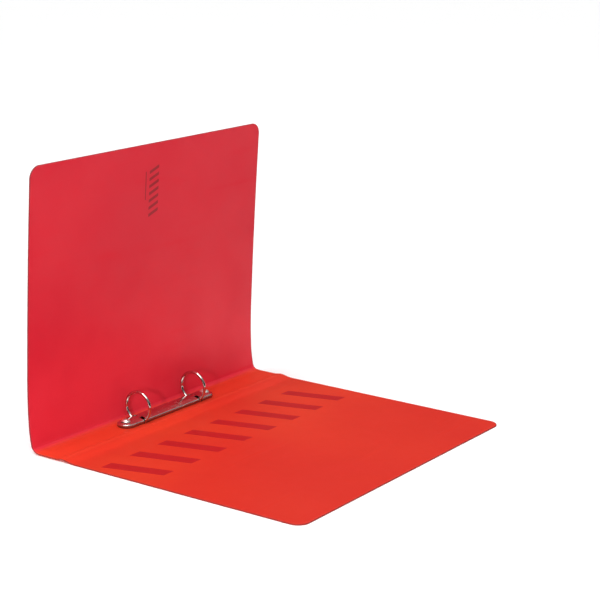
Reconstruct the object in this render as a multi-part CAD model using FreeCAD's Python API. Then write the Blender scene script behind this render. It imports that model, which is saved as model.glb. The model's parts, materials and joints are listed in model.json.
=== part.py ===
import FreeCAD, Part
import math
import os

# A two-ring binder. Its covers and spine are one translucent polypropylene sheet with two creases,
# and a chromed two-ring mechanism is riveted inside the spine.
# It lies open on a table: the back cover flat, the front cover standing up from the spine.
# Axes: +X from the spine to the back cover's fore edge, +Y along the spine, +Z up.
# The origin is the centre of the bounding box's footprint, on the table.
# All sizes are millimetres.

# Sheet
BINDER_HEIGHT = 320.0        # along the spine
COVER_WIDTH = 248.0          # from a crease to its fore edge
SHEET = 1.2                  # thickness of the covers and the spine
CREASE_SHEET = 0.7           # thickness where the creases are pressed
CORNER_RADIUS = 11.0         # covers' outer corners

# Spine panel: flat under the mechanism, with edges that curl up to the creases
SPINE_UNDERSIDE = 0.9        # height over the table, room for the rivet heads
SPINE_FLAT_HALF = 8.6
SPINE_EDGE_HALF = 13.4       # the creases start here
SPINE_EDGE_RADIUS = 18.0

# Creases
CREASE_LENGTH = 5.0          # developed width of each pressed band
FRONT_CREASE_TURN = 40.0     # degrees that the band turns up towards the front cover
BACK_CREASE_TURN = 26.0      # degrees that the band turns down towards the back cover

# Front cover: how far it still leans out over the table as it leaves the crease, then bows back
FRONT_LEANS = [(2.6, 12.5), (18.0, 3.2), (40.0, -1.6)]   # (developed length, lean reached)
FRONT_TOP_LEAN_IN = 3.5      # lean back over the spine at the top

# Back cover: a short slope down from the crease, then flat on the table
BACK_SLOPE_SHARE = 0.6       # share of the drop taken by the straight run, and the rest by an arc

# Label on the outside of the spine
LABEL_LENGTH = 101.0
LABEL_WIDTH = 21.5
LABEL_SHEET = 0.2

# Ring mechanism
RING_SPACING = 80.0
RING_RADIUS = 13.7           # to the centre of the wire
RING_WIRE_RADIUS = 1.35
RING_CENTRE_OVER_SPINE = 14.0
RING_TIP_GAP = 0.15          # each half ring stops this short of the middle
TIP_CONE_LENGTH = 1.0
TIP_CONE_RADII = (0.75, 0.45)
TIP_CLEARANCE = 0.25
RING_FOOT_OFFSET = 7.4       # the wires end this far from the middle, in the plate's slots
PLATE_LENGTH = 129.5
PLATE_SHEET = 0.6
PLATE_CROWN = 5.15           # top of the plate over the spine's inner face
PLATE_ARCH_RADIUS = 20.0
PLATE_ARCH_HALF = 8.2
PLATE_SHOULDER_RADIUS = 0.7
PLATE_CURL_RADIUS = 0.8
PLATE_CURL_LIP = 0.3
RING_SLOT_WIDTH = 4.2
RING_SLOT_HALF = 2.6         # the slots run from here out through the plate's edges
BLADE_SHEET = 0.9
BLADE_HALF_LENGTH = 53.0
BLADE_INNER = 0.15
BLADE_PIVOT = (7.9, 1.35)    # from the middle of the spine, and over its inner face
BLADE_OVERHANG = 0.05        # beyond the pivot, in the plate's curled edge
BLADE_CLOSED_ANGLE = 4.0     # the blades slope down to the middle while the rings are shut
TONGUE_WIDTH = 2.6
TONGUE_INNER = 5.6
TONGUE_OUTER = 8.9

# Rivets
RIVET_SPACING = 115.0
POST_CAP_RADIUS = 5.2
POST_CAP_TOP = 1.7           # over the plate's crown
POST_CAP_HEIGHT = 3.3
POST_RADIUS = 3.0
POST_BORE_DEPTH = 3.2
RIVET_PIN_RADIUS = 1.5
RIVET_HEAD_RADIUS = 3.75
FIT = 0.03                   # radial gap round pins and posts

# Places worked out from the sizes above
SPINE_MIDDLE = 0.0
SPINE_INNER = SPINE_UNDERSIDE + SHEET
SPINE_CENTRE = SPINE_UNDERSIDE + SHEET / 2


def point(x, z, y=0.0):
    return FreeCAD.Vector(x, y, z)


class Sheet:
    """A bent sheet's section in the XZ plane, drawn along its middle line by runs and arcs."""

    def __init__(self, x, z, heading, thickness):
        self.x = x
        self.z = z
        self.heading = heading
        self.half = thickness / 2
        self.left = []
        self.right = []

    def beside(self, offset):
        """The point this far to the left of the line's end."""
        angle = math.radians(self.heading)
        return point(self.x - offset * math.sin(angle), self.z + offset * math.cos(angle))

    def move(self, length, direction):
        self.x += length * math.cos(math.radians(direction))
        self.z += length * math.sin(math.radians(direction))

    def line(self, length):
        left, right = self.beside(self.half), self.beside(-self.half)
        self.move(length, self.heading)
        self.left.append(Part.LineSegment(left, self.beside(self.half)).toShape())
        self.right.append(Part.LineSegment(right, self.beside(-self.half)).toShape())
        return self

    def arc(self, length, turn):
        """An arc of this developed length. Its turn is in degrees, positive to the left."""
        radius = length / math.radians(turn)
        half_chord = 2 * radius * math.sin(math.radians(turn / 4))
        lefts = [self.beside(self.half)]
        rights = [self.beside(-self.half)]
        for _ in range(2):
            self.move(half_chord, self.heading + turn / 4)
            self.heading += turn / 2
            lefts.append(self.beside(self.half))
            rights.append(self.beside(-self.half))
        self.left.append(Part.Arc(*lefts).toShape())
        self.right.append(Part.Arc(*rights).toShape())
        return self

    def bend(self, radius, turn):
        return self.arc(radius * math.radians(abs(turn)), turn)

    def face(self):
        start_left = self.left[0].firstVertex(True).Point
        start_right = self.right[0].firstVertex(True).Point
        ends = [
            Part.LineSegment(start_left, start_right).toShape(),
            Part.LineSegment(self.beside(self.half), self.beside(-self.half)).toShape(),
        ]
        return Part.Face(Part.Wire(Part.__sortEdges__(self.left + self.right + ends)))


def along_spine(face, length):
    """A section face made solid along the spine, centred on the spine's middle."""
    face.translate(FreeCAD.Vector(0, -length / 2, 0))
    return face.extrude(FreeCAD.Vector(0, length, 0))


def mirrored(shape):
    """The same shape on the other side of the spine's middle line."""
    return shape.mirror(point(SPINE_MIDDLE, 0), FreeCAD.Vector(1, 0, 0))


def spine_section(thickness=SHEET, offset=0.0, half_width=SPINE_EDGE_HALF):
    """The spine's section from its front edge to its back edge. offset lowers the middle line."""
    radius = SPINE_EDGE_RADIUS + offset
    turn = math.degrees(math.asin((half_width - SPINE_FLAT_HALF) / radius))
    rise = radius * (1 - math.cos(math.radians(turn)))
    section = Sheet(SPINE_MIDDLE - half_width, SPINE_CENTRE - offset + rise, -turn, thickness)
    return section.bend(radius, turn).line(2 * SPINE_FLAT_HALF).bend(radius, turn)


def crease_start(to_front):
    """Where the spine's edge meets a crease, and the heading there, away from the spine."""
    end = spine_section()
    if to_front:
        return 2 * SPINE_MIDDLE - end.x, end.z, 180 - end.heading
    return end.x, end.z, end.heading


def crease_section(to_front, thickness, part=1.0):
    """The crease's section, or the first part of it."""
    turn = FRONT_CREASE_TURN if to_front else BACK_CREASE_TURN
    return Sheet(*crease_start(to_front), thickness).arc(part * CREASE_LENGTH, -part * turn)


def cover_section(to_front):
    """A cover's section, from its crease to its fore edge."""
    crease = crease_section(to_front, SHEET)
    section = Sheet(crease.x, crease.z, crease.heading, SHEET)
    middle = crease_section(to_front, SHEET, 0.5)
    if to_front:
        for length, lean in FRONT_LEANS:
            section.arc(length, 90 + lean - section.heading)
        rest = middle.z + COVER_WIDTH - section.z
        return section.arc(rest, 90 - FRONT_TOP_LEAN_IN - section.heading)
    # A sloping run and an arc bring the sheet down to lie flat.
    drop = section.z - SHEET / 2
    slope = -section.heading
    run = BACK_SLOPE_SHARE * drop / math.sin(math.radians(slope))
    section.line(run)
    radius = (section.z - SHEET / 2) / (1 - math.cos(math.radians(slope)))
    section.bend(radius, slope)
    return section.line(middle.x + COVER_WIDTH - section.x)


def corner_prism(far, outward, through):
    """A prism along through that holds a cover with rounded outer corners, far along outward."""
    half = BINDER_HEIGHT / 2
    inset = half - CORNER_RADIUS
    knee = far - CORNER_RADIUS
    mid_out = knee + CORNER_RADIUS * math.sqrt(0.5)
    mid_side = inset + CORNER_RADIUS * math.sqrt(0.5)

    def at(distance, y):
        return outward * distance + FreeCAD.Vector(0, y, 0) - through * COVER_WIDTH

    edges = [
        Part.LineSegment(at(-half, -half), at(knee, -half)),
        Part.Arc(at(knee, -half), at(mid_out, -mid_side), at(far, -inset)),
        Part.LineSegment(at(far, -inset), at(far, inset)),
        Part.Arc(at(far, inset), at(mid_out, mid_side), at(knee, half)),
        Part.LineSegment(at(knee, half), at(-half, half)),
        Part.LineSegment(at(-half, half), at(-half, -half)),
    ]
    face = Part.Face(Part.Wire([edge.toShape() for edge in edges]))
    return face.extrude(through * 3 * COVER_WIDTH)


def make_cover(to_front):
    section = cover_section(to_front)
    cover = along_spine(section.face(), BINDER_HEIGHT)
    up, across = FreeCAD.Vector(0, 0, 1), FreeCAD.Vector(1, 0, 0)
    if to_front:
        return cover.common(corner_prism(section.z, up, across))
    return cover.common(corner_prism(section.x, across, up))


def make_crease(to_front):
    return along_spine(crease_section(to_front, CREASE_SHEET).face(), BINDER_HEIGHT)


def rivet_places():
    return [("lower", -RIVET_SPACING / 2), ("upper", RIVET_SPACING / 2)]


def ring_places():
    return [("lower", -RING_SPACING / 2), ("upper", RING_SPACING / 2)]


def upright(radius, z, height, y):
    """A cylinder on the spine's middle line."""
    return Part.makeCylinder(radius, height, point(SPINE_MIDDLE, z, y))


def dome(base_radius, height, base_z, y, up):
    """A spherical cap on the spine's middle line, with its flat base at base_z."""
    sphere_radius = (base_radius**2 + height**2) / (2 * height)
    ball_z = base_z - up * (sphere_radius - height)
    ball = Part.makeSphere(sphere_radius, point(SPINE_MIDDLE, ball_z, y))
    keep_z = base_z if up > 0 else base_z - 2 * height
    return ball.common(upright(2 * base_radius, keep_z, 2 * height, y))


def make_spine_panel():
    panel = along_spine(spine_section().face(), BINDER_HEIGHT)
    for _, y in rivet_places():
        hole = upright(RIVET_PIN_RADIUS + FIT, SPINE_UNDERSIDE - SHEET, 3 * SHEET, y)
        panel = panel.cut(hole)
    return panel


def make_label():
    below = (SHEET + LABEL_SHEET) / 2
    section = spine_section(LABEL_SHEET, below, LABEL_WIDTH / 2)
    return along_spine(section.face(), LABEL_LENGTH)


def plate_half_section():
    """Half of the plate's section: the arch, the shoulder, the side and the curled lip."""
    arch_turn = math.degrees(math.asin(PLATE_ARCH_HALF / PLATE_ARCH_RADIUS))
    section = Sheet(SPINE_MIDDLE, SPINE_INNER + PLATE_CROWN - PLATE_SHEET / 2, 0, PLATE_SHEET)
    section.bend(PLATE_ARCH_RADIUS, -arch_turn)
    section.bend(PLATE_SHOULDER_RADIUS, arch_turn - 90)
    drop = section.z - (SPINE_INNER + PLATE_SHEET / 2) - PLATE_CURL_RADIUS
    section.line(drop)
    section.bend(PLATE_CURL_RADIUS, -90)
    return section.line(PLATE_CURL_LIP)


def plate_half_width():
    return max(edge.BoundBox.XMax for edge in plate_half_section().left) - SPINE_MIDDLE


def make_ring_plate():
    """An arched plate with curled edges, domed ends, slots for the rings and holes for the rivets."""
    straight = PLATE_LENGTH - 2 * plate_half_width()
    half = plate_half_section().face()
    side = along_spine(half.copy(), straight)
    plate = side.fuse(mirrored(side))
    for end in (-1, 1):
        profile = half.copy()
        profile.translate(FreeCAD.Vector(0, end * straight / 2, 0))
        pivot = point(SPINE_MIDDLE, 0, end * straight / 2)
        plate = plate.fuse(profile.revolve(pivot, FreeCAD.Vector(0, 0, 1), end * 180))
    for _, y in ring_places():
        slot = Part.makeBox(RING_RADIUS, RING_SLOT_WIDTH, PLATE_CROWN)
        corner = point(SPINE_MIDDLE + RING_SLOT_HALF, SPINE_INNER, y - RING_SLOT_WIDTH / 2)
        slot.translate(corner)
        plate = plate.cut(slot).cut(mirrored(slot))
    for _, y in rivet_places():
        plate = plate.cut(upright(POST_RADIUS + FIT, SPINE_INNER, 2 * PLATE_CROWN, y))
    return plate.removeSplitter()


def in_blade_plane(shape):
    """Tips a shape about the back blade's pivot, down to the middle, as it is with the rings shut."""
    pivot = point(SPINE_MIDDLE + BLADE_PIVOT[0], SPINE_INNER + BLADE_PIVOT[1])
    return shape.rotate(pivot, FreeCAD.Vector(0, 1, 0), -BLADE_CLOSED_ANGLE)


def flat_strip(inner, outer, width, y):
    """A piece of the back blade's plane, between two distances from the spine's middle."""
    strip = Part.makeBox(outer - inner, width, BLADE_SHEET)
    low = SPINE_INNER + BLADE_PIVOT[1] - BLADE_SHEET / 2
    strip.translate(point(SPINE_MIDDLE + inner, low, y - width / 2))
    return strip


def make_back_blade():
    edge = BLADE_PIVOT[0] + BLADE_OVERHANG
    blade = flat_strip(BLADE_INNER, edge, 2 * BLADE_HALF_LENGTH, 0)
    for _, y in ring_places():
        blade = blade.cut(flat_strip(TONGUE_INNER, 2 * edge, TONGUE_WIDTH, y))
    return in_blade_plane(blade)


def make_back_half_ring(y):
    """Half of a ring, from its tip at the top to the flattened tongue held in the blade."""
    centre = point(SPINE_MIDDLE, SPINE_INNER + RING_CENTRE_OVER_SPINE, y)
    tip_angle = 90 - math.degrees(RING_TIP_GAP / RING_RADIUS)
    foot_angle = -math.degrees(math.acos(RING_FOOT_OFFSET / RING_RADIUS))
    axis = FreeCAD.Vector(0, -1, 0)
    out = FreeCAD.Vector(1, 0, 0)
    circle = Part.Circle(centre + out * RING_RADIUS, FreeCAD.Vector(0, 0, 1), RING_WIRE_RADIUS)
    section = Part.Face(Part.Wire(circle.toShape()))
    section.rotate(centre, axis, foot_angle)
    wire = section.revolve(centre, axis, tip_angle - foot_angle)
    tongue = in_blade_plane(flat_strip(TONGUE_INNER, TONGUE_OUTER, TONGUE_WIDTH, y))
    return wire.fuse(tongue).removeSplitter()


def tip_cone(y, grow):
    """The locating cone between two tips, pointing from the front half ring to the back one."""
    top = SPINE_INNER + RING_CENTRE_OVER_SPINE + RING_RADIUS
    root, end = (radius + grow for radius in TIP_CONE_RADII)
    start = SPINE_MIDDLE - RING_TIP_GAP - TIP_CONE_LENGTH / 2
    length = TIP_CONE_LENGTH * 1.5 + grow
    return Part.makeCone(root, end, length, point(start, top, y), FreeCAD.Vector(1, 0, 0))


def make_rivet_post(y):
    """The inner half of a rivet: a domed cap on the plate and a hollow post down to the spine."""
    crown = SPINE_INNER + PLATE_CROWN
    base = crown + POST_CAP_TOP - POST_CAP_HEIGHT
    cap = dome(POST_CAP_RADIUS, POST_CAP_HEIGHT, base, y, 1)
    arch_centre = point(SPINE_MIDDLE, crown - PLATE_SHEET / 2 - PLATE_ARCH_RADIUS, -PLATE_LENGTH)
    arch_radius = PLATE_ARCH_RADIUS + PLATE_SHEET / 2
    along = FreeCAD.Vector(0, 1, 0)
    cap = cap.cut(Part.makeCylinder(arch_radius, 2 * PLATE_LENGTH, arch_centre, along))
    post = upright(POST_RADIUS, SPINE_INNER, PLATE_CROWN + POST_CAP_TOP / 2, y)
    bore = upright(RIVET_PIN_RADIUS + FIT, SPINE_INNER, POST_BORE_DEPTH, y)
    return cap.fuse(post).cut(bore).removeSplitter()


def make_rivet_head(y):
    """The outer half of a rivet: a domed head under the spine and a pin up into the post."""
    head = dome(RIVET_HEAD_RADIUS, SPINE_UNDERSIDE, SPINE_UNDERSIDE, y, -1)
    pin_length = SHEET + POST_BORE_DEPTH - FIT
    pin = upright(RIVET_PIN_RADIUS, SPINE_UNDERSIDE / 2, pin_length + SPINE_UNDERSIDE / 2, y)
    return head.fuse(pin).removeSplitter()


def make_parts():
    parts = {
        "spine_panel": make_spine_panel(),
        "spine_label": make_label(),
        "front_crease": make_crease(True),
        "back_crease": make_crease(False),
        "front_cover": make_cover(True),
        "back_cover": make_cover(False),
        "ring_plate": make_ring_plate(),
        "back_blade": make_back_blade(),
        "front_blade": mirrored(make_back_blade()),
    }
    for name, y in ring_places():
        half = make_back_half_ring(y)
        parts["front_half_ring_" + name] = mirrored(half).fuse(tip_cone(y, 0)).removeSplitter()
        parts["back_half_ring_" + name] = half.cut(tip_cone(y, TIP_CLEARANCE))
    for name, y in rivet_places():
        parts["rivet_post_" + name] = make_rivet_post(y)
        parts["rivet_head_" + name] = make_rivet_head(y)
    return parts


def to_row_frame(parts):
    """Moves every part so that the origin is under the middle of the bounding box."""
    whole = Part.makeCompound(list(parts.values())).BoundBox
    shift = FreeCAD.Vector(-whole.Center.x, -whole.Center.y, 0)
    for shape in parts.values():
        shape.translate(shift)
    return shift


def main():
    parts = make_parts()
    shift = to_row_frame(parts)
    os.makedirs("parts", exist_ok=True)
    for name, shape in parts.items():
        shape.exportStep("parts/" + name + ".step")
        box = shape.BoundBox
        print(f"{name:24s} solids {len(shape.Solids)} valid {shape.isValid()} {shape.Volume:9.1f}",
              f"x {box.XMin:.2f}..{box.XMax:.2f} y {box.YMin:.2f}..{box.YMax:.2f}",
              f"z {box.ZMin:.2f}..{box.ZMax:.2f}")
    for to_front in (True, False):
        hinge = crease_section(to_front, SHEET, 0.5)
        print(f"crease axis x {hinge.x + shift.x:.3f} z {hinge.z:.3f}")
    blade = BLADE_PIVOT[0]
    middle = SPINE_MIDDLE + shift.x
    print(f"blade axes x {middle - blade:.3f} and {middle + blade:.3f}",
          f"z {SPINE_INNER + BLADE_PIVOT[1]:.3f}, spine middle x {middle:.3f}")


main()
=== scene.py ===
import json
import math

import bmesh
import bpy
import numpy as np
from mathutils import Matrix, Vector


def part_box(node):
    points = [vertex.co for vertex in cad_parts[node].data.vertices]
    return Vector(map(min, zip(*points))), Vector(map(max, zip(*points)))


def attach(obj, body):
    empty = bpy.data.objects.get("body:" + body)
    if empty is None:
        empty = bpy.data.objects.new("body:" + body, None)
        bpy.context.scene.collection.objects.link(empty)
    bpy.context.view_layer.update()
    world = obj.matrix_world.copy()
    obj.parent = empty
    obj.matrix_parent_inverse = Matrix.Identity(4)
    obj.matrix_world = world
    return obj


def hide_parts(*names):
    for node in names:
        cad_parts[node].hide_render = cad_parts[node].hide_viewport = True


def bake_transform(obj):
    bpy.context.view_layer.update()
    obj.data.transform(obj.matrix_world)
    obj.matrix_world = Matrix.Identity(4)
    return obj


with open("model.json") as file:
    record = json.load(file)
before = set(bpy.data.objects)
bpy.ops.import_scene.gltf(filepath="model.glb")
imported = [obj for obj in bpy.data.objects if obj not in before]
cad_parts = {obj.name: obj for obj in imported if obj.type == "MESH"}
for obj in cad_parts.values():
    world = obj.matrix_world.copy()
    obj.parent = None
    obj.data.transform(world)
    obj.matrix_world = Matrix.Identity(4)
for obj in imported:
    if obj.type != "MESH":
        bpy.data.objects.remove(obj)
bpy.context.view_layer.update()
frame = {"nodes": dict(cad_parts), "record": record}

nodes = frame["nodes"]
MM = 0.001

# ---------------------------------------------------------------- camera, floor and lights
VIEW_AZIMUTH = 34.65
VIEW_ELEVATION = 14.30
VIEW_ROLL = 0.90
VIEW_DISTANCE = 1.5325
VIEW_TARGET = Vector((0.0279, 0.0, 0.1314))
LENS = 106.7
SENSOR_WIDTH = 36.0
FLOOR_HALF = 7.0
FLOOR_GREY = (0.93, 0.93, 0.93, 1)
WALL_RADIUS = 6.9
WALL_HEIGHT = 8.0
WALL_SUNK = 0.05             # how far the wall goes on below the floor
HORIZON = 0.22               # the upward part of a direction that still counts as level
OVERHEAD = 0.85              # and the one that counts as overhead


def away(azimuth, elevation):
    """The direction out to this azimuth from the front and this elevation, in degrees."""
    a, e = math.radians(azimuth), math.radians(elevation)
    return Vector((math.sin(a) * math.cos(e), -math.cos(a) * math.cos(e), math.sin(e)))


def add_camera():
    data = bpy.data.cameras.new("camera")
    data.lens = LENS
    data.sensor_width = SENSOR_WIDTH
    data.clip_start = 0.05
    data.clip_end = 50.0
    camera = bpy.data.objects.new("camera", data)
    bpy.context.scene.collection.objects.link(camera)
    back = away(VIEW_AZIMUTH, VIEW_ELEVATION)
    turn = back.to_track_quat("Z", "Y").to_matrix().to_4x4()
    roll = Matrix.Rotation(math.radians(VIEW_ROLL), 4, "Z")
    camera.matrix_world = Matrix.Translation(VIEW_TARGET + VIEW_DISTANCE * back) @ turn @ roll
    bpy.context.scene.camera = camera


def add_light(name, azimuth, elevation, distance, size, watts, glossy=False, diffuse=True):
    """A round lamp aimed at the target. glossy and diffuse say which reflections show it."""
    data = bpy.data.lights.new(name, "AREA")
    data.shape = "DISK"
    data.size = size
    data.energy = watts
    light = bpy.data.objects.new(name, data)
    bpy.context.scene.collection.objects.link(light)
    back = away(azimuth, elevation)
    turn = back.to_track_quat("Z", "Y").to_matrix().to_4x4()
    light.matrix_world = Matrix.Translation(VIEW_TARGET + distance * back) @ turn
    light.visible_glossy = glossy
    light.visible_diffuse = diffuse


def add_floor():
    """A plain pale floor."""
    material = bpy.data.materials.new("floor")
    material.use_nodes = True
    shader = material.node_tree.nodes["Principled BSDF"]
    shader.inputs["Base Color"].default_value = FLOOR_GREY
    shader.inputs["Roughness"].default_value = 0.8
    shader.inputs["Specular IOR Level"].default_value = 0.1
    half = FLOOR_HALF
    corners = [(-half, -half, 0), (half, -half, 0), (half, half, 0), (-half, half, 0)]
    mesh = bpy.data.meshes.new("floor")
    mesh.from_pydata(corners, [], [(0, 1, 2, 3)])
    mesh.materials.append(material)
    floor = bpy.data.objects.new("floor", mesh)
    bpy.context.scene.collection.objects.link(floor)


def add_backdrop():
    """A white wall all round, far out, which only the camera sees."""
    material = bpy.data.materials.new("backdrop")
    material.use_nodes = True
    shader = material.node_tree.nodes["Principled BSDF"]
    shader.inputs["Base Color"].default_value = (0, 0, 0, 1)
    shader.inputs["Specular IOR Level"].default_value = 0.0
    shader.inputs["Emission Color"].default_value = (1, 1, 1, 1)
    shader.inputs["Emission Strength"].default_value = 1.0
    work = bmesh.new()
    bmesh.ops.create_cone(
        work, cap_ends=False, segments=64, depth=WALL_HEIGHT,
        radius1=WALL_RADIUS, radius2=WALL_RADIUS,
        matrix=Matrix.Translation((0, 0, WALL_HEIGHT / 2 - WALL_SUNK)),
    )
    mesh = bpy.data.meshes.new("backdrop")
    work.to_mesh(mesh)
    work.free()
    mesh.materials.append(material)
    wall = bpy.data.objects.new("backdrop", mesh)
    bpy.context.scene.collection.objects.link(wall)
    wall.visible_diffuse = False
    wall.visible_glossy = False
    wall.visible_transmission = False
    wall.visible_shadow = False


def add_sun(name, azimuth, elevation, spread, strength):
    """A sun whose disc is spread degrees wide, as soft as a large panel."""
    data = bpy.data.lights.new(name, "SUN")
    data.angle = math.radians(spread)
    data.energy = strength
    sun = bpy.data.objects.new(name, data)
    bpy.context.scene.collection.objects.link(sun)
    sun.matrix_world = away(azimuth, elevation).to_track_quat("Z", "Y").to_matrix().to_4x4()


def add_world(low, high):
    """A grey studio, which shines from low at the horizon to high overhead."""
    world = bpy.data.worlds.new("studio")
    world.use_nodes = True
    tree = world.node_tree
    direction = tree.nodes.new("ShaderNodeTexCoord")
    parts = tree.nodes.new("ShaderNodeSeparateXYZ")
    ramp = tree.nodes.new("ShaderNodeMapRange")
    ramp.interpolation_type = "SMOOTHSTEP"
    for socket, number in zip(ramp.inputs[1:5], (HORIZON, OVERHEAD, low, high)):
        socket.default_value = number
    tree.links.new(direction.outputs["Generated"], parts.inputs[0])
    tree.links.new(parts.outputs[2], ramp.inputs[0])
    tree.links.new(ramp.outputs[0], tree.nodes["Background"].inputs["Color"])
    bpy.context.scene.world = world


bpy.context.scene.view_settings.view_transform = "Standard"
add_camera()
add_floor()
add_backdrop()
add_world(low=0.02, high=0.62)
add_sun("top", azimuth=8, elevation=64, spread=58, strength=2.35)
add_light("key", azimuth=23, elevation=11, distance=2.0, size=0.09, watts=22)
add_light("side", azimuth=72, elevation=-1, distance=1.5, size=0.6, watts=6)
add_light("rear", azimuth=215, elevation=40, distance=2.4, size=1.4, watts=6)
add_light(
    "shine", azimuth=-90, elevation=81, distance=2.0, size=0.6, watts=14,
    glossy=True, diffuse=False,
)


# ---------------------------------------------------------------- node helpers
class Graph:
    """A material's node tree, with short calls that take numbers or sockets and return sockets."""

    def __init__(self, name):
        self.material = bpy.data.materials.new(name)
        self.material.use_nodes = True
        self.tree = self.material.node_tree
        self.shader = self.tree.nodes["Principled BSDF"]
        self.output = self.tree.nodes["Material Output"]
        self.place = self.tree.nodes.new("ShaderNodeTexCoord").outputs["Object"]

    def put(self, socket, value):
        if isinstance(value, bpy.types.NodeSocket):
            self.tree.links.new(value, socket)
        elif socket.type == "RGBA":
            socket.default_value = (*value, 1)
        else:
            socket.default_value = value

    def set(self, **values):
        """Puts values into the main shader's inputs, named with _ for each space."""
        for name, value in values.items():
            self.put(self.shader.inputs[name.replace("_", " ")], value)

    def calc(self, operation, *values):
        node = self.tree.nodes.new("ShaderNodeMath")
        node.operation = operation
        for socket, value in zip(node.inputs, values):
            self.put(socket, value)
        return node.outputs[0]

    def product(self, first, *others):
        for other in others:
            first = self.calc("MULTIPLY", first, other)
        return first

    def noise(self, scale, detail=3.0, stretch=(1, 1, 1)):
        """Noise with scale features to a metre, fewer along an axis whose stretch is below 1."""
        mapping = self.tree.nodes.new("ShaderNodeMapping")
        self.put(mapping.inputs["Vector"], self.place)
        mapping.inputs["Scale"].default_value = stretch
        node = self.tree.nodes.new("ShaderNodeTexNoise")
        self.put(node.inputs["Vector"], mapping.outputs[0])
        node.inputs["Scale"].default_value = scale
        node.inputs["Detail"].default_value = detail
        return node.outputs[0]

    def span(self, value, low, high, to_low=0.0, to_high=1.0):
        node = self.tree.nodes.new("ShaderNodeMapRange")
        node.interpolation_type = "SMOOTHSTEP"
        for socket, number in zip(node.inputs, (value, low, high, to_low, to_high)):
            self.put(socket, number)
        return node.outputs[0]

    def mix(self, share, first, second):
        node = self.tree.nodes.new("ShaderNodeMix")
        node.data_type = "RGBA"
        factor, colour_a, colour_b = node.inputs[0], node.inputs[6], node.inputs[7]
        self.put(factor, share)
        self.put(colour_a, first)
        self.put(colour_b, second)
        return node.outputs[2]

    def bump(self, height, strength, distance, under=None):
        node = self.tree.nodes.new("ShaderNodeBump")
        node.inputs["Strength"].default_value = strength
        node.inputs["Distance"].default_value = distance
        self.put(node.inputs["Height"], height)
        if under is not None:
            self.put(node.inputs["Normal"], under)
        return node.outputs[0]

    def axes(self):
        node = self.tree.nodes.new("ShaderNodeSeparateXYZ")
        self.put(node.inputs[0], self.place)
        return node.outputs

    def attribute(self, name):
        node = self.tree.nodes.new("ShaderNodeAttribute")
        node.attribute_name = name
        return node.outputs["Fac"]

    def bars(self, along, across, first, count, pitch, width, low, high, slant):
        """1 inside a row of slanted bars, in metres.

        They follow each other along one axis from first, and stand from low to high across it.
        """
        lean = self.calc("MULTIPLY", self.calc("SUBTRACT", across, low), slant)
        place = self.calc("SUBTRACT", self.calc("SUBTRACT", along, first), lean)
        turn = self.calc("DIVIDE", place, pitch)
        return self.product(
            self.calc("LESS_THAN", self.calc("FRACT", turn), width / pitch),
            self.calc("GREATER_THAN", turn, 0.0),
            self.calc("LESS_THAN", turn, float(count)),
            self.calc("GREATER_THAN", across, low),
            self.calc("LESS_THAN", across, high),
        )


# ---------------------------------------------------------------- materials
def sheet_material(name, base, gloss, near=None, reach=(0, 1), mark=None, mark_colour=None):
    """Satin, slightly translucent polypropylene with a specular level of gloss.

    near is the colour at the sheet's start, which turns into base over this reach of its
    length; this change is painted light and shade. mark adds a printed mark in mark_colour.
    """
    g = Graph(name)
    grain = g.noise(1500.0, 2.0)
    deep = (0.93 * base[0], 0.74 * base[1], 0.95 * base[2])
    colour = base
    if near is not None:
        # painted light and shade: the colour runs from near at the sheet's start to base further on
        colour = g.mix(g.span(g.attribute("fold"), *reach), near, base)
    colour = g.mix(g.span(g.noise(7.0, 3.0), 0.35, 0.65, 0.0, 0.6), colour, deep)
    colour = g.mix(g.span(grain, 0.35, 0.7, 0.0, 0.16), colour, deep)
    wear_and_highlight = g.attribute("wear_and_highlight")
    patchy = g.span(g.noise(160.0, 3.0), 0.4, 0.62, 0.3, 1.0)
    # wear whitening at the cut edges, and in the crease grooves partly a painted highlight line
    colour = g.mix(g.product(wear_and_highlight, patchy, 0.35), colour, tuple(0.08 + 0.92 * c for c in base))
    # painted shade: the sheet is painted darker along its cut edges
    painted_edge_shade = g.span(g.attribute("edge_shade"), 0.3, 0.9)
    colour = g.mix(g.product(painted_edge_shade, 0.85), colour, tuple(0.3 * c + 0.02 for c in base))
    scuffs = g.span(g.noise(90.0, 6.0, (1.0, 0.12, 1.0)), 0.6, 0.72)
    rough = g.span(g.noise(28.0, 4.0), 0.3, 0.7, 0.36, 0.46)
    rough = g.calc("ADD", rough, g.product(scuffs, 0.10))
    rough = g.calc("ADD", rough, g.product(wear_and_highlight, 0.10))
    if mark is not None:
        inked = mark(g)
        colour = g.mix(g.product(inked, g.span(grain, 0.2, 0.8, 0.72, 0.9)), colour, mark_colour)
        rough = g.calc("SUBTRACT", rough, g.product(inked, 0.08))
    waves = g.bump(g.noise(16.0, 1.0), 0.5, 0.0006)
    normal = g.bump(grain, 0.35, 0.00003, waves)
    g.set(Base_Color=colour, Roughness=rough, Specular_IOR_Level=gloss, Normal=normal)
    glow = g.tree.nodes.new("ShaderNodeBsdfTranslucent")
    g.put(glow.inputs["Color"], colour)
    g.put(glow.inputs["Normal"], normal)
    both = g.tree.nodes.new("ShaderNodeMixShader")
    both.inputs[0].default_value = 0.3
    g.put(both.inputs[1], g.shader.outputs[0])
    g.put(both.inputs[2], glow.outputs[0])
    g.put(g.output.inputs["Surface"], both.outputs[0])
    return g.material


def back_mark(g):
    """A row of plain slanted bars across the back cover."""
    x, y, _ = g.axes()
    return g.bars(
        y, x, first=-0.1515, count=8, pitch=0.0372, width=0.0136,
        low=-0.0685, high=-0.0138, slant=0.3,
    )


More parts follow.
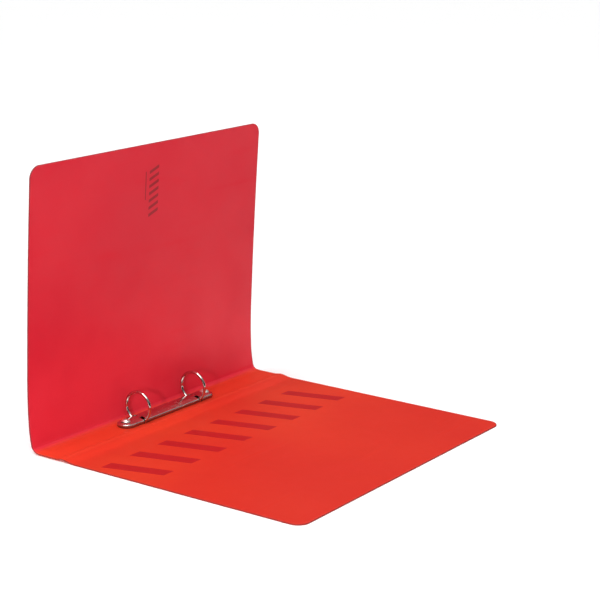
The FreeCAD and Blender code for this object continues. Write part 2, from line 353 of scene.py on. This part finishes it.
def front_mark(g):
    """A short row of plain slanted bars near the front cover's fore edge, with a thin rule beside it."""
    _, y, z = g.axes()
    row = g.bars(
        z, y, first=0.1835, count=7, pitch=0.0066, width=0.0028,
        low=-0.0045, high=0.0085, slant=0.35,
    )
    rule = g.bars(
        z, y, first=0.2, count=1, pitch=0.028, width=0.026,
        low=-0.01, high=-0.0088, slant=0.0,
    )
    return g.calc("MAXIMUM", row, rule)


def metal_material(name, colour, dull, low, high, streak, bump, painted_shade_below=None):
    """Plated or rolled metal, in blotches of colour and dull.

    Its roughness runs from low to high. streak below 1 stretches its fine marks along Y, and
    bump is how deep they look. Below the height given last, the metal is painted dark and
    duller: painted shade and painted dark reflection in the corner under a rolled edge.
    """
    g = Graph(name)
    marks = g.noise(2600.0, 3.0, (1.0, streak, 1.0))
    blotch = g.noise(70.0, 3.0)
    shade = g.mix(g.span(blotch, 0.4, 0.7, 0.0, 0.5), colour, dull)
    shade = g.mix(g.span(marks, 0.55, 0.75, 0.0, 0.25), shade, dull)
    rough = g.span(g.noise(240.0, 4.0), 0.3, 0.7, low, high)
    rough = g.calc("ADD", rough, g.span(marks, 0.5, 0.75, 0.0, 0.06))
    if painted_shade_below is not None:
        # painted shade and painted dark reflection: darker and duller below the given height
        corner = g.span(g.axes()[2], painted_shade_below - 0.0016, painted_shade_below, 0.6, 0.0)
        shade = g.mix(corner, shade, (0.05, 0.04, 0.035))
        rough = g.calc("ADD", rough, g.product(corner, 0.2))
    g.set(Base_Color=shade, Roughness=rough, Metallic=1.0, Normal=g.bump(marks, bump, 0.00002))
    return g.material


def label_material():
    """White paper with fine fibres and a small row of bars."""
    g = Graph("label")
    fibres = g.noise(900.0, 4.0, (1.0, 0.4, 1.0))
    colour = g.mix(g.span(fibres, 0.35, 0.7), (0.80, 0.82, 0.86), (0.87, 0.885, 0.91))
    colour = g.mix(g.span(g.noise(30.0, 2.0), 0.5, 0.8, 0.0, 0.3), colour, (0.80, 0.79, 0.76))
    x, y, _ = g.axes()
    mark = g.bars(
        y, x, first=-0.0465, count=4, pitch=0.0042, width=0.0018,
        low=-0.1245, high=-0.1175, slant=0.3,
    )
    colour = g.mix(g.product(mark, 0.85), colour, (0.12, 0.15, 0.19))
    rough = g.span(g.noise(300.0, 3.0), 0.3, 0.7, 0.5, 0.68)
    g.set(Base_Color=colour, Roughness=rough, Normal=g.bump(fibres, 0.3, 0.00003))
    return g.material


# One red sheet: the crimson of the standing front cover and the orange-red of the lying spine, back
# crease and back cover are painted light and shade
RED = (0.94, 0.068, 0.028)
# painted light and shade: other tones by the creases and a darker one far out on the back cover
RED_PAINTED_LIGHT_BY_FRONT_CREASE = (0.91, 0.066, 0.037)
RED_PAINTED_SHADE_FAR = (0.87, 0.042, 0.022)
CRIMSON = (0.72, 0.013, 0.032)
CRIMSON_PAINTED_LIGHT_BY_CREASE = (0.85, 0.034, 0.059)
INK_ON_RED = (0.58, 0.014, 0.024)
INK_ON_CRIMSON = (0.24, 0.003, 0.010)
RED_GLOSS = 0.16
CRIMSON_GLOSS = 0.3
# painted shade: below this depth under the plate's top, its lower wall is painted dark
PLATE_PAINTED_SHADE_DEPTH = 0.0021   # how far below the plate's top its corner starts to look dark

red = sheet_material("red_sheet", RED, RED_GLOSS)
red_spine = sheet_material(
    "red_sheet_spine", RED, RED_GLOSS, near=RED_PAINTED_LIGHT_BY_FRONT_CREASE, reach=(0.0, 0.22)
)
red_marked = sheet_material(
    "red_sheet_marked", RED_PAINTED_SHADE_FAR, RED_GLOSS, near=RED, reach=(0.05, 0.8),
    mark=back_mark, mark_colour=INK_ON_RED,
)
# painted light: the front crease turns from the lying sheet's orange-red to the standing cover's crimson
turning = sheet_material(
    "red_to_crimson_painted_light_sheet", CRIMSON_PAINTED_LIGHT_BY_CREASE, RED_GLOSS,
    near=RED_PAINTED_LIGHT_BY_FRONT_CREASE, reach=(0.2, 0.75),
)
crimson_marked = sheet_material(
    "crimson_sheet_marked", CRIMSON, CRIMSON_GLOSS, near=CRIMSON_PAINTED_LIGHT_BY_CREASE, reach=(0.08, 0.6),
    mark=front_mark, mark_colour=INK_ON_CRIMSON,
)
finishes = {
    "sheet": red,
    "label": label_material(),
    # the warm tint of this chrome colour is painted reflection of the red sheet
    "chrome": metal_material(
        "chrome", colour=(0.66, 0.61, 0.58), dull=(0.54, 0.49, 0.46),
        low=0.06, high=0.11, streak=1.0, bump=0.05,
    ),
    "steel": metal_material(
        "steel", colour=(0.50, 0.50, 0.51), dull=(0.38, 0.37, 0.36),
        low=0.26, high=0.38, streak=0.04, bump=0.3,
    ),
    "rivet": metal_material(
        "rivet", colour=(0.66, 0.66, 0.67), dull=(0.54, 0.53, 0.52),
        low=0.14, high=0.24, streak=1.0, bump=0.1,
    ),
}
plate_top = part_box("ring_plate")[1][2]
special_finishes = {
    # the plate's warm tint is painted reflection of the red sheet
    "ring_plate": metal_material(
        "plated_sheet_painted_shade", colour=(0.66, 0.61, 0.59), dull=(0.56, 0.51, 0.49),
        low=0.16, high=0.25, streak=0.05, bump=0.12,
        painted_shade_below=plate_top - PLATE_PAINTED_SHADE_DEPTH,
    ),
}
post_finish = metal_material(
    "rivet_post", colour=(0.88, 0.86, 0.83), dull=(0.76, 0.74, 0.71),
    low=0.36, high=0.44, streak=1.0, bump=0.15,
)
for post in ("rivet_post_lower", "rivet_post_upper"):
    special_finishes[post] = post_finish


# ---------------------------------------------------------------- the red sheet's shape
SHEET = 1.2
EDGE_ROUND = 0.22
EDGE_SEGMENTS = 3
SHARP = math.radians(50)
CORNER_RADIUS = 11.0
RIVET_HOLE_RADIUS = 1.53
CORNER_ANGLES = (0, 9, 18, 27, 36, 45, 54, 62, 68, 74, 80, 85, 90)
COVER_WIDTH = 248.0
CREASE_LENGTH = 5.0
CREASE_GROOVE = 0.45         # depth of the two pressed lines, both sides together
CREASE_GROOVE_SHARE = 0.14   # where each line is deepest, as a share of the crease
CREASE_BAND_RISE = 0.2       # how much thicker the band between the lines is
CREASE_STEPS = 28
SPINE_FLAT_HALF = 8.6
SPINE_EDGE_HALF = 13.4
SPINE_EDGE_RADIUS = 18.0
FRONT_CREASE_TURN = 40.0
BACK_CREASE_TURN = 26.0
FRONT_LEANS = [(2.6, 12.5), (18.0, 3.2), (40.0, -1.6)]
FRONT_TOP_LEAN_IN = 3.5
BACK_SLOPE_SHARE = 0.6
RIM = 0.8                    # rows of faces this far in from the cut edges
WEAR_WIDTH = 1.4
# width of the painted shade along the cut edges
EDGE_SHADE_WIDTH = 0.35
COLUMNS = 40
COVER_STEP = 8.0             # longest row of faces along a cover
SPINE_STEP = 3.0
CORNER_CLEAR = 3.0           # no row of faces this close before a cover's corners


def walk(start, runs, distance):
    """The place and heading after this distance along runs of (length, turn in degrees)."""
    x, z, heading = start
    for length, turn in runs:
        part = min(distance, length)
        a = math.radians(heading)
        angle = math.radians(turn) * part / length
        if abs(turn) < 1e-9:
            x += part * math.cos(a)
            z += part * math.sin(a)
        else:
            radius = length / math.radians(turn)
            x += radius * (math.sin(a + angle) - math.sin(a))
            z -= radius * (math.cos(a + angle) - math.cos(a))
        heading += math.degrees(angle)
        distance -= part
        if distance <= 0:
            break
    return x, z, heading


def total(runs):
    return sum(length for length, _ in runs)


def stations(runs, longest, finest=1.5):
    """Distances along runs: every joint, and steps short enough to follow each bend."""
    found, start = [0.0], 0.0
    for length, turn in runs:
        count = max(1, math.ceil(length / longest), math.ceil(abs(turn) / finest))
        found += [start + length * (k + 1) / count for k in range(count)]
        start += length
    return found


class Strip:
    """A sheet swept along Y, with its section along runs from start."""

    def __init__(self, name, start, runs, distances, rounded=False):
        self.name = name
        self.start = start
        self.runs = runs
        self.distances = distances
        self.length = total(runs)
        self.knee = self.length - CORNER_RADIUS
        self.rounded = rounded

    def half_width(self, s):
        if not self.rounded or s <= self.knee:
            return HALF_HEIGHT
        past = min(1.0, (s - self.knee) / CORNER_RADIUS)
        return HALF_HEIGHT - CORNER_RADIUS * (1 - math.sqrt(1 - past * past))

    def thickness(self, s):
        return SHEET

    def edge_shade(self, s, y):
        """Painted shade along the cut edges: 1 at a cut edge, fading out over the edge shade width."""
        return np.clip(1 - self.inset(s, y) / EDGE_SHADE_WIDTH, 0, 1)

    def wear_and_highlight(self, s, y):
        """1 at a cut edge, fading out over WEAR_WIDTH."""
        return np.clip(1 - self.inset(s, y) / WEAR_WIDTH, 0, 1)

    def inset(self, s, y):
        """How far in from the cut edges each point is."""
        y = np.abs(y)
        inset = HALF_HEIGHT - y
        if self.rounded:
            inset = np.minimum(inset, self.length - s)
            past_s, past_y = s - self.knee, y - (HALF_HEIGHT - CORNER_RADIUS)
            corner = CORNER_RADIUS - np.hypot(past_s, past_y)
            inset = np.where((past_s > 0) & (past_y > 0), corner, inset)
        return inset

    def mesh(self):
        fractions = np.linspace(-1, 1, COLUMNS + 1)
        places = []
        for side in (1, -1):
            for s in self.distances:
                x, z, heading = walk(self.start, self.runs, s)
                a = math.radians(heading)
                offset = side * self.thickness(s) / 2
                px, pz = x - offset * math.sin(a), z + offset * math.cos(a)
                half = self.half_width(s)
                inner = half - 2.5 * RIM
                ys = [-half, RIM - half, *(fractions * inner), half - RIM, half]
                places += [(px * MM, y * MM, pz * MM) for y in ys]
        rows, across = len(self.distances), COLUMNS + 5
        skin = rows * across
        faces = []

        def quad(*corners):
            faces.append([side * skin + row * across + column for side, row, column in corners])

        for r in range(rows - 1):
            for c in range(across - 1):
                quad((0, r, c), (0, r + 1, c), (0, r + 1, c + 1), (0, r, c + 1))
                quad((1, r, c), (1, r, c + 1), (1, r + 1, c + 1), (1, r + 1, c))
            for c in (0, across - 1):
                quad((0, r, c), (1, r, c), (1, r + 1, c), (0, r + 1, c))
        for r in (0, rows - 1):
            for c in range(across - 1):
                quad((0, r, c), (1, r, c), (1, r, c + 1), (0, r, c + 1))
        mesh = bpy.data.meshes.new(self.name)
        mesh.from_pydata(places, [], faces)
        work = bmesh.new()
        work.from_mesh(mesh)
        bmesh.ops.recalc_face_normals(work, faces=work.faces)
        sharp = [e for e in work.edges if e.calc_face_angle(0) > SHARP]
        bmesh.ops.bevel(
            work, geom=sharp, offset=EDGE_ROUND * MM, offset_type="OFFSET",
            segments=EDGE_SEGMENTS, profile=0.5, affect="EDGES", clamp_overlap=True,
        )
        work.to_mesh(mesh)
        work.free()
        mesh.shade_smooth()
        return mesh

    def paint(self, mesh):
        count = len(mesh.vertices)
        co = np.empty(3 * count)
        mesh.vertices.foreach_get("co", co)
        co = co.reshape(-1, 3) / MM
        line = np.array([walk(self.start, self.runs, s)[:2] for s in self.distances])
        gaps = np.hypot(co[:, 0, None] - line[:, 0], co[:, 2, None] - line[:, 1])
        s = np.array(self.distances)[gaps.argmin(axis=1)]
        values = {
            "wear_and_highlight": self.wear_and_highlight(s, co[:, 1]),
            "edge_shade": self.edge_shade(s, co[:, 1]),
            "fold": s / self.length,
        }
        for name, value in values.items():
            layer = mesh.attributes.new(name, "FLOAT", "POINT")
            layer.data.foreach_set("value", value.astype(np.float32))

    def piece(self, material, replaced):
        mesh = self.mesh()
        piece = add_piece(self.name, mesh, material)
        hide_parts(replaced)
        return piece


class Crease(Strip):
    """The pressed band between the spine and a cover: a line along each side of a thinner band."""

    def thickness(self, s):
        side = min(s, CREASE_LENGTH - s) / CREASE_LENGTH
        if side < CREASE_GROOVE_SHARE:
            share = math.sin(math.pi / 2 * side / CREASE_GROOVE_SHARE)
            return SHEET - CREASE_GROOVE * share
        rise = min(1.0, side / CREASE_GROOVE_SHARE - 1)
        return SHEET - CREASE_GROOVE + CREASE_BAND_RISE * rise

    def wear_and_highlight(self, s, y):
        # the pressed grooves are painted paler: partly wear whitening, partly a painted highlight line
        pressed = np.array([SHEET - self.thickness(float(v)) for v in s]) / CREASE_GROOVE
        return np.maximum(super().wear_and_highlight(s, y), 0.5 * pressed**2)


def add_piece(name, mesh, material):
    piece = bpy.data.objects.new(name, mesh)
    bpy.context.scene.collection.objects.link(piece)
    mesh.materials.append(material)
    return piece


def drill(piece, centre_x, places, radius):
    """Cuts round holes up through a piece and keeps the result as its mesh."""
    cutters = []
    for y in places:
        work = bmesh.new()
        bmesh.ops.create_cone(
            work, cap_ends=True, segments=48, radius1=radius, radius2=radius, depth=0.02,
            matrix=Matrix.Translation((centre_x, y, 0)),
        )
        mesh = bpy.data.meshes.new("cutter")
        work.to_mesh(mesh)
        work.free()
        cutter = bpy.data.objects.new("cutter", mesh)
        bpy.context.scene.collection.objects.link(cutter)
        modifier = piece.modifiers.new("hole", "BOOLEAN")
        modifier.solver = "EXACT"
        modifier.object = cutter
        cutters.append(cutter)
    shape = piece.evaluated_get(bpy.context.evaluated_depsgraph_get())
    mesh = bpy.data.meshes.new_from_object(shape)
    piece.modifiers.clear()
    piece.data = mesh
    for cutter in cutters:
        bpy.data.objects.remove(cutter)


spine_low, spine_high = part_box("spine_panel")
HALF_HEIGHT = spine_high[1] / MM
spine_x = (spine_low[0] + spine_high[0]) / 2 / MM
edge_turn = math.degrees(math.asin((SPINE_EDGE_HALF - SPINE_FLAT_HALF) / SPINE_EDGE_RADIUS))
edge_rise = SPINE_EDGE_RADIUS * (1 - math.cos(math.radians(edge_turn)))
edge_length = SPINE_EDGE_RADIUS * math.radians(edge_turn)
edge_z = spine_low[2] / MM + SHEET / 2 + edge_rise
spine_start = (spine_x - SPINE_EDGE_HALF, edge_z, -edge_turn)
spine_runs = [(edge_length, edge_turn), (2 * SPINE_FLAT_HALF, 0.0), (edge_length, edge_turn)]
front_edge = (spine_x - SPINE_EDGE_HALF, edge_z, 180 - edge_turn)
back_edge = (spine_x + SPINE_EDGE_HALF, edge_z, edge_turn)
front_crease_runs = [(CREASE_LENGTH, -FRONT_CREASE_TURN)]
back_crease_runs = [(CREASE_LENGTH, -BACK_CREASE_TURN)]


def front_cover_runs(start):
    """Up from the crease in arcs: out over the table, then bowed back."""
    runs, place = [], start
    for length, lean in FRONT_LEANS:
        run = (length, 90 + lean - place[2])
        runs.append(run)
        place = walk(place, [run], length)
    middle = walk(front_edge, front_crease_runs, CREASE_LENGTH / 2)
    tip = SHEET / 2 * math.sin(math.radians(FRONT_TOP_LEAN_IN))
    rest = middle[1] + COVER_WIDTH - tip - place[1]
    return [*runs, (rest, 90 - FRONT_TOP_LEAN_IN - place[2])]


def back_cover_runs(start):
    """A short slope and an arc down from the crease, then flat on the table."""
    slope = -start[2]
    run = BACK_SLOPE_SHARE * (start[1] - SHEET / 2) / math.sin(math.radians(slope))
    place = walk(start, [(run, 0.0)], run)
    radius = (place[1] - SHEET / 2) / (1 - math.cos(math.radians(slope)))
    arc = (radius * math.radians(slope), slope)
    place = walk(place, [arc], arc[0])
    middle = walk(back_edge, back_crease_runs, CREASE_LENGTH / 2)
    return [(run, 0.0), arc, (middle[0] + COVER_WIDTH - place[0], 0.0)]


def cover(name, start, runs, material, body):
    knee = total(runs) - CORNER_RADIUS
    distances = [s for s in stations(runs, COVER_STEP) if s < knee - CORNER_CLEAR]
    distances += [knee + CORNER_RADIUS * math.sin(math.radians(a)) for a in CORNER_ANGLES]
    strip = Strip(name + "_sheet", start, runs, distances, rounded=True)
    piece = strip.piece(material, name)
    strip.paint(piece.data)
    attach(piece, body)


def crease(name, edge, runs, material):
    distances = [CREASE_LENGTH * k / CREASE_STEPS for k in range(CREASE_STEPS + 1)]
    strip = Crease(name + "_band", edge, runs, distances)
    piece = strip.piece(material, name)
    strip.paint(piece.data)
    start, end = (walk(edge, runs, s) for s in (0.0, CREASE_LENGTH))
    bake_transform(piece)


def spine():
    strip = Strip("spine_sheet", spine_start, spine_runs, stations(spine_runs, SPINE_STEP))
    piece = strip.piece(red_spine, "spine_panel")
    head_low, head_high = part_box("rivet_head_upper")
    rivet_y = (head_low[1] + head_high[1]) / 2
    drill(piece, spine_x * MM, (-rivet_y, rivet_y), RIVET_HOLE_RADIUS * MM)
    strip.paint(piece.data)
    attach(piece, "spine")


front_start = walk(front_edge, front_crease_runs, CREASE_LENGTH)
back_start = walk(back_edge, back_crease_runs, CREASE_LENGTH)
cover("front_cover", front_start, front_cover_runs(front_start), crimson_marked, "front_cover")
cover("back_cover", back_start, back_cover_runs(back_start), red_marked, "back_cover")
crease("front_crease", front_edge, front_crease_runs, turning)
crease("back_crease", back_edge, back_crease_runs, red)
spine()


# ---------------------------------------------------------------- materials on the CAD nodes
for subpart in frame["record"]["subparts"]:
    name, slot = subpart["node"], subpart["material_slot"]
    node = nodes[name]
    node.data.materials.clear()
    node.data.materials.append(special_finishes.get(name, finishes[slot]))
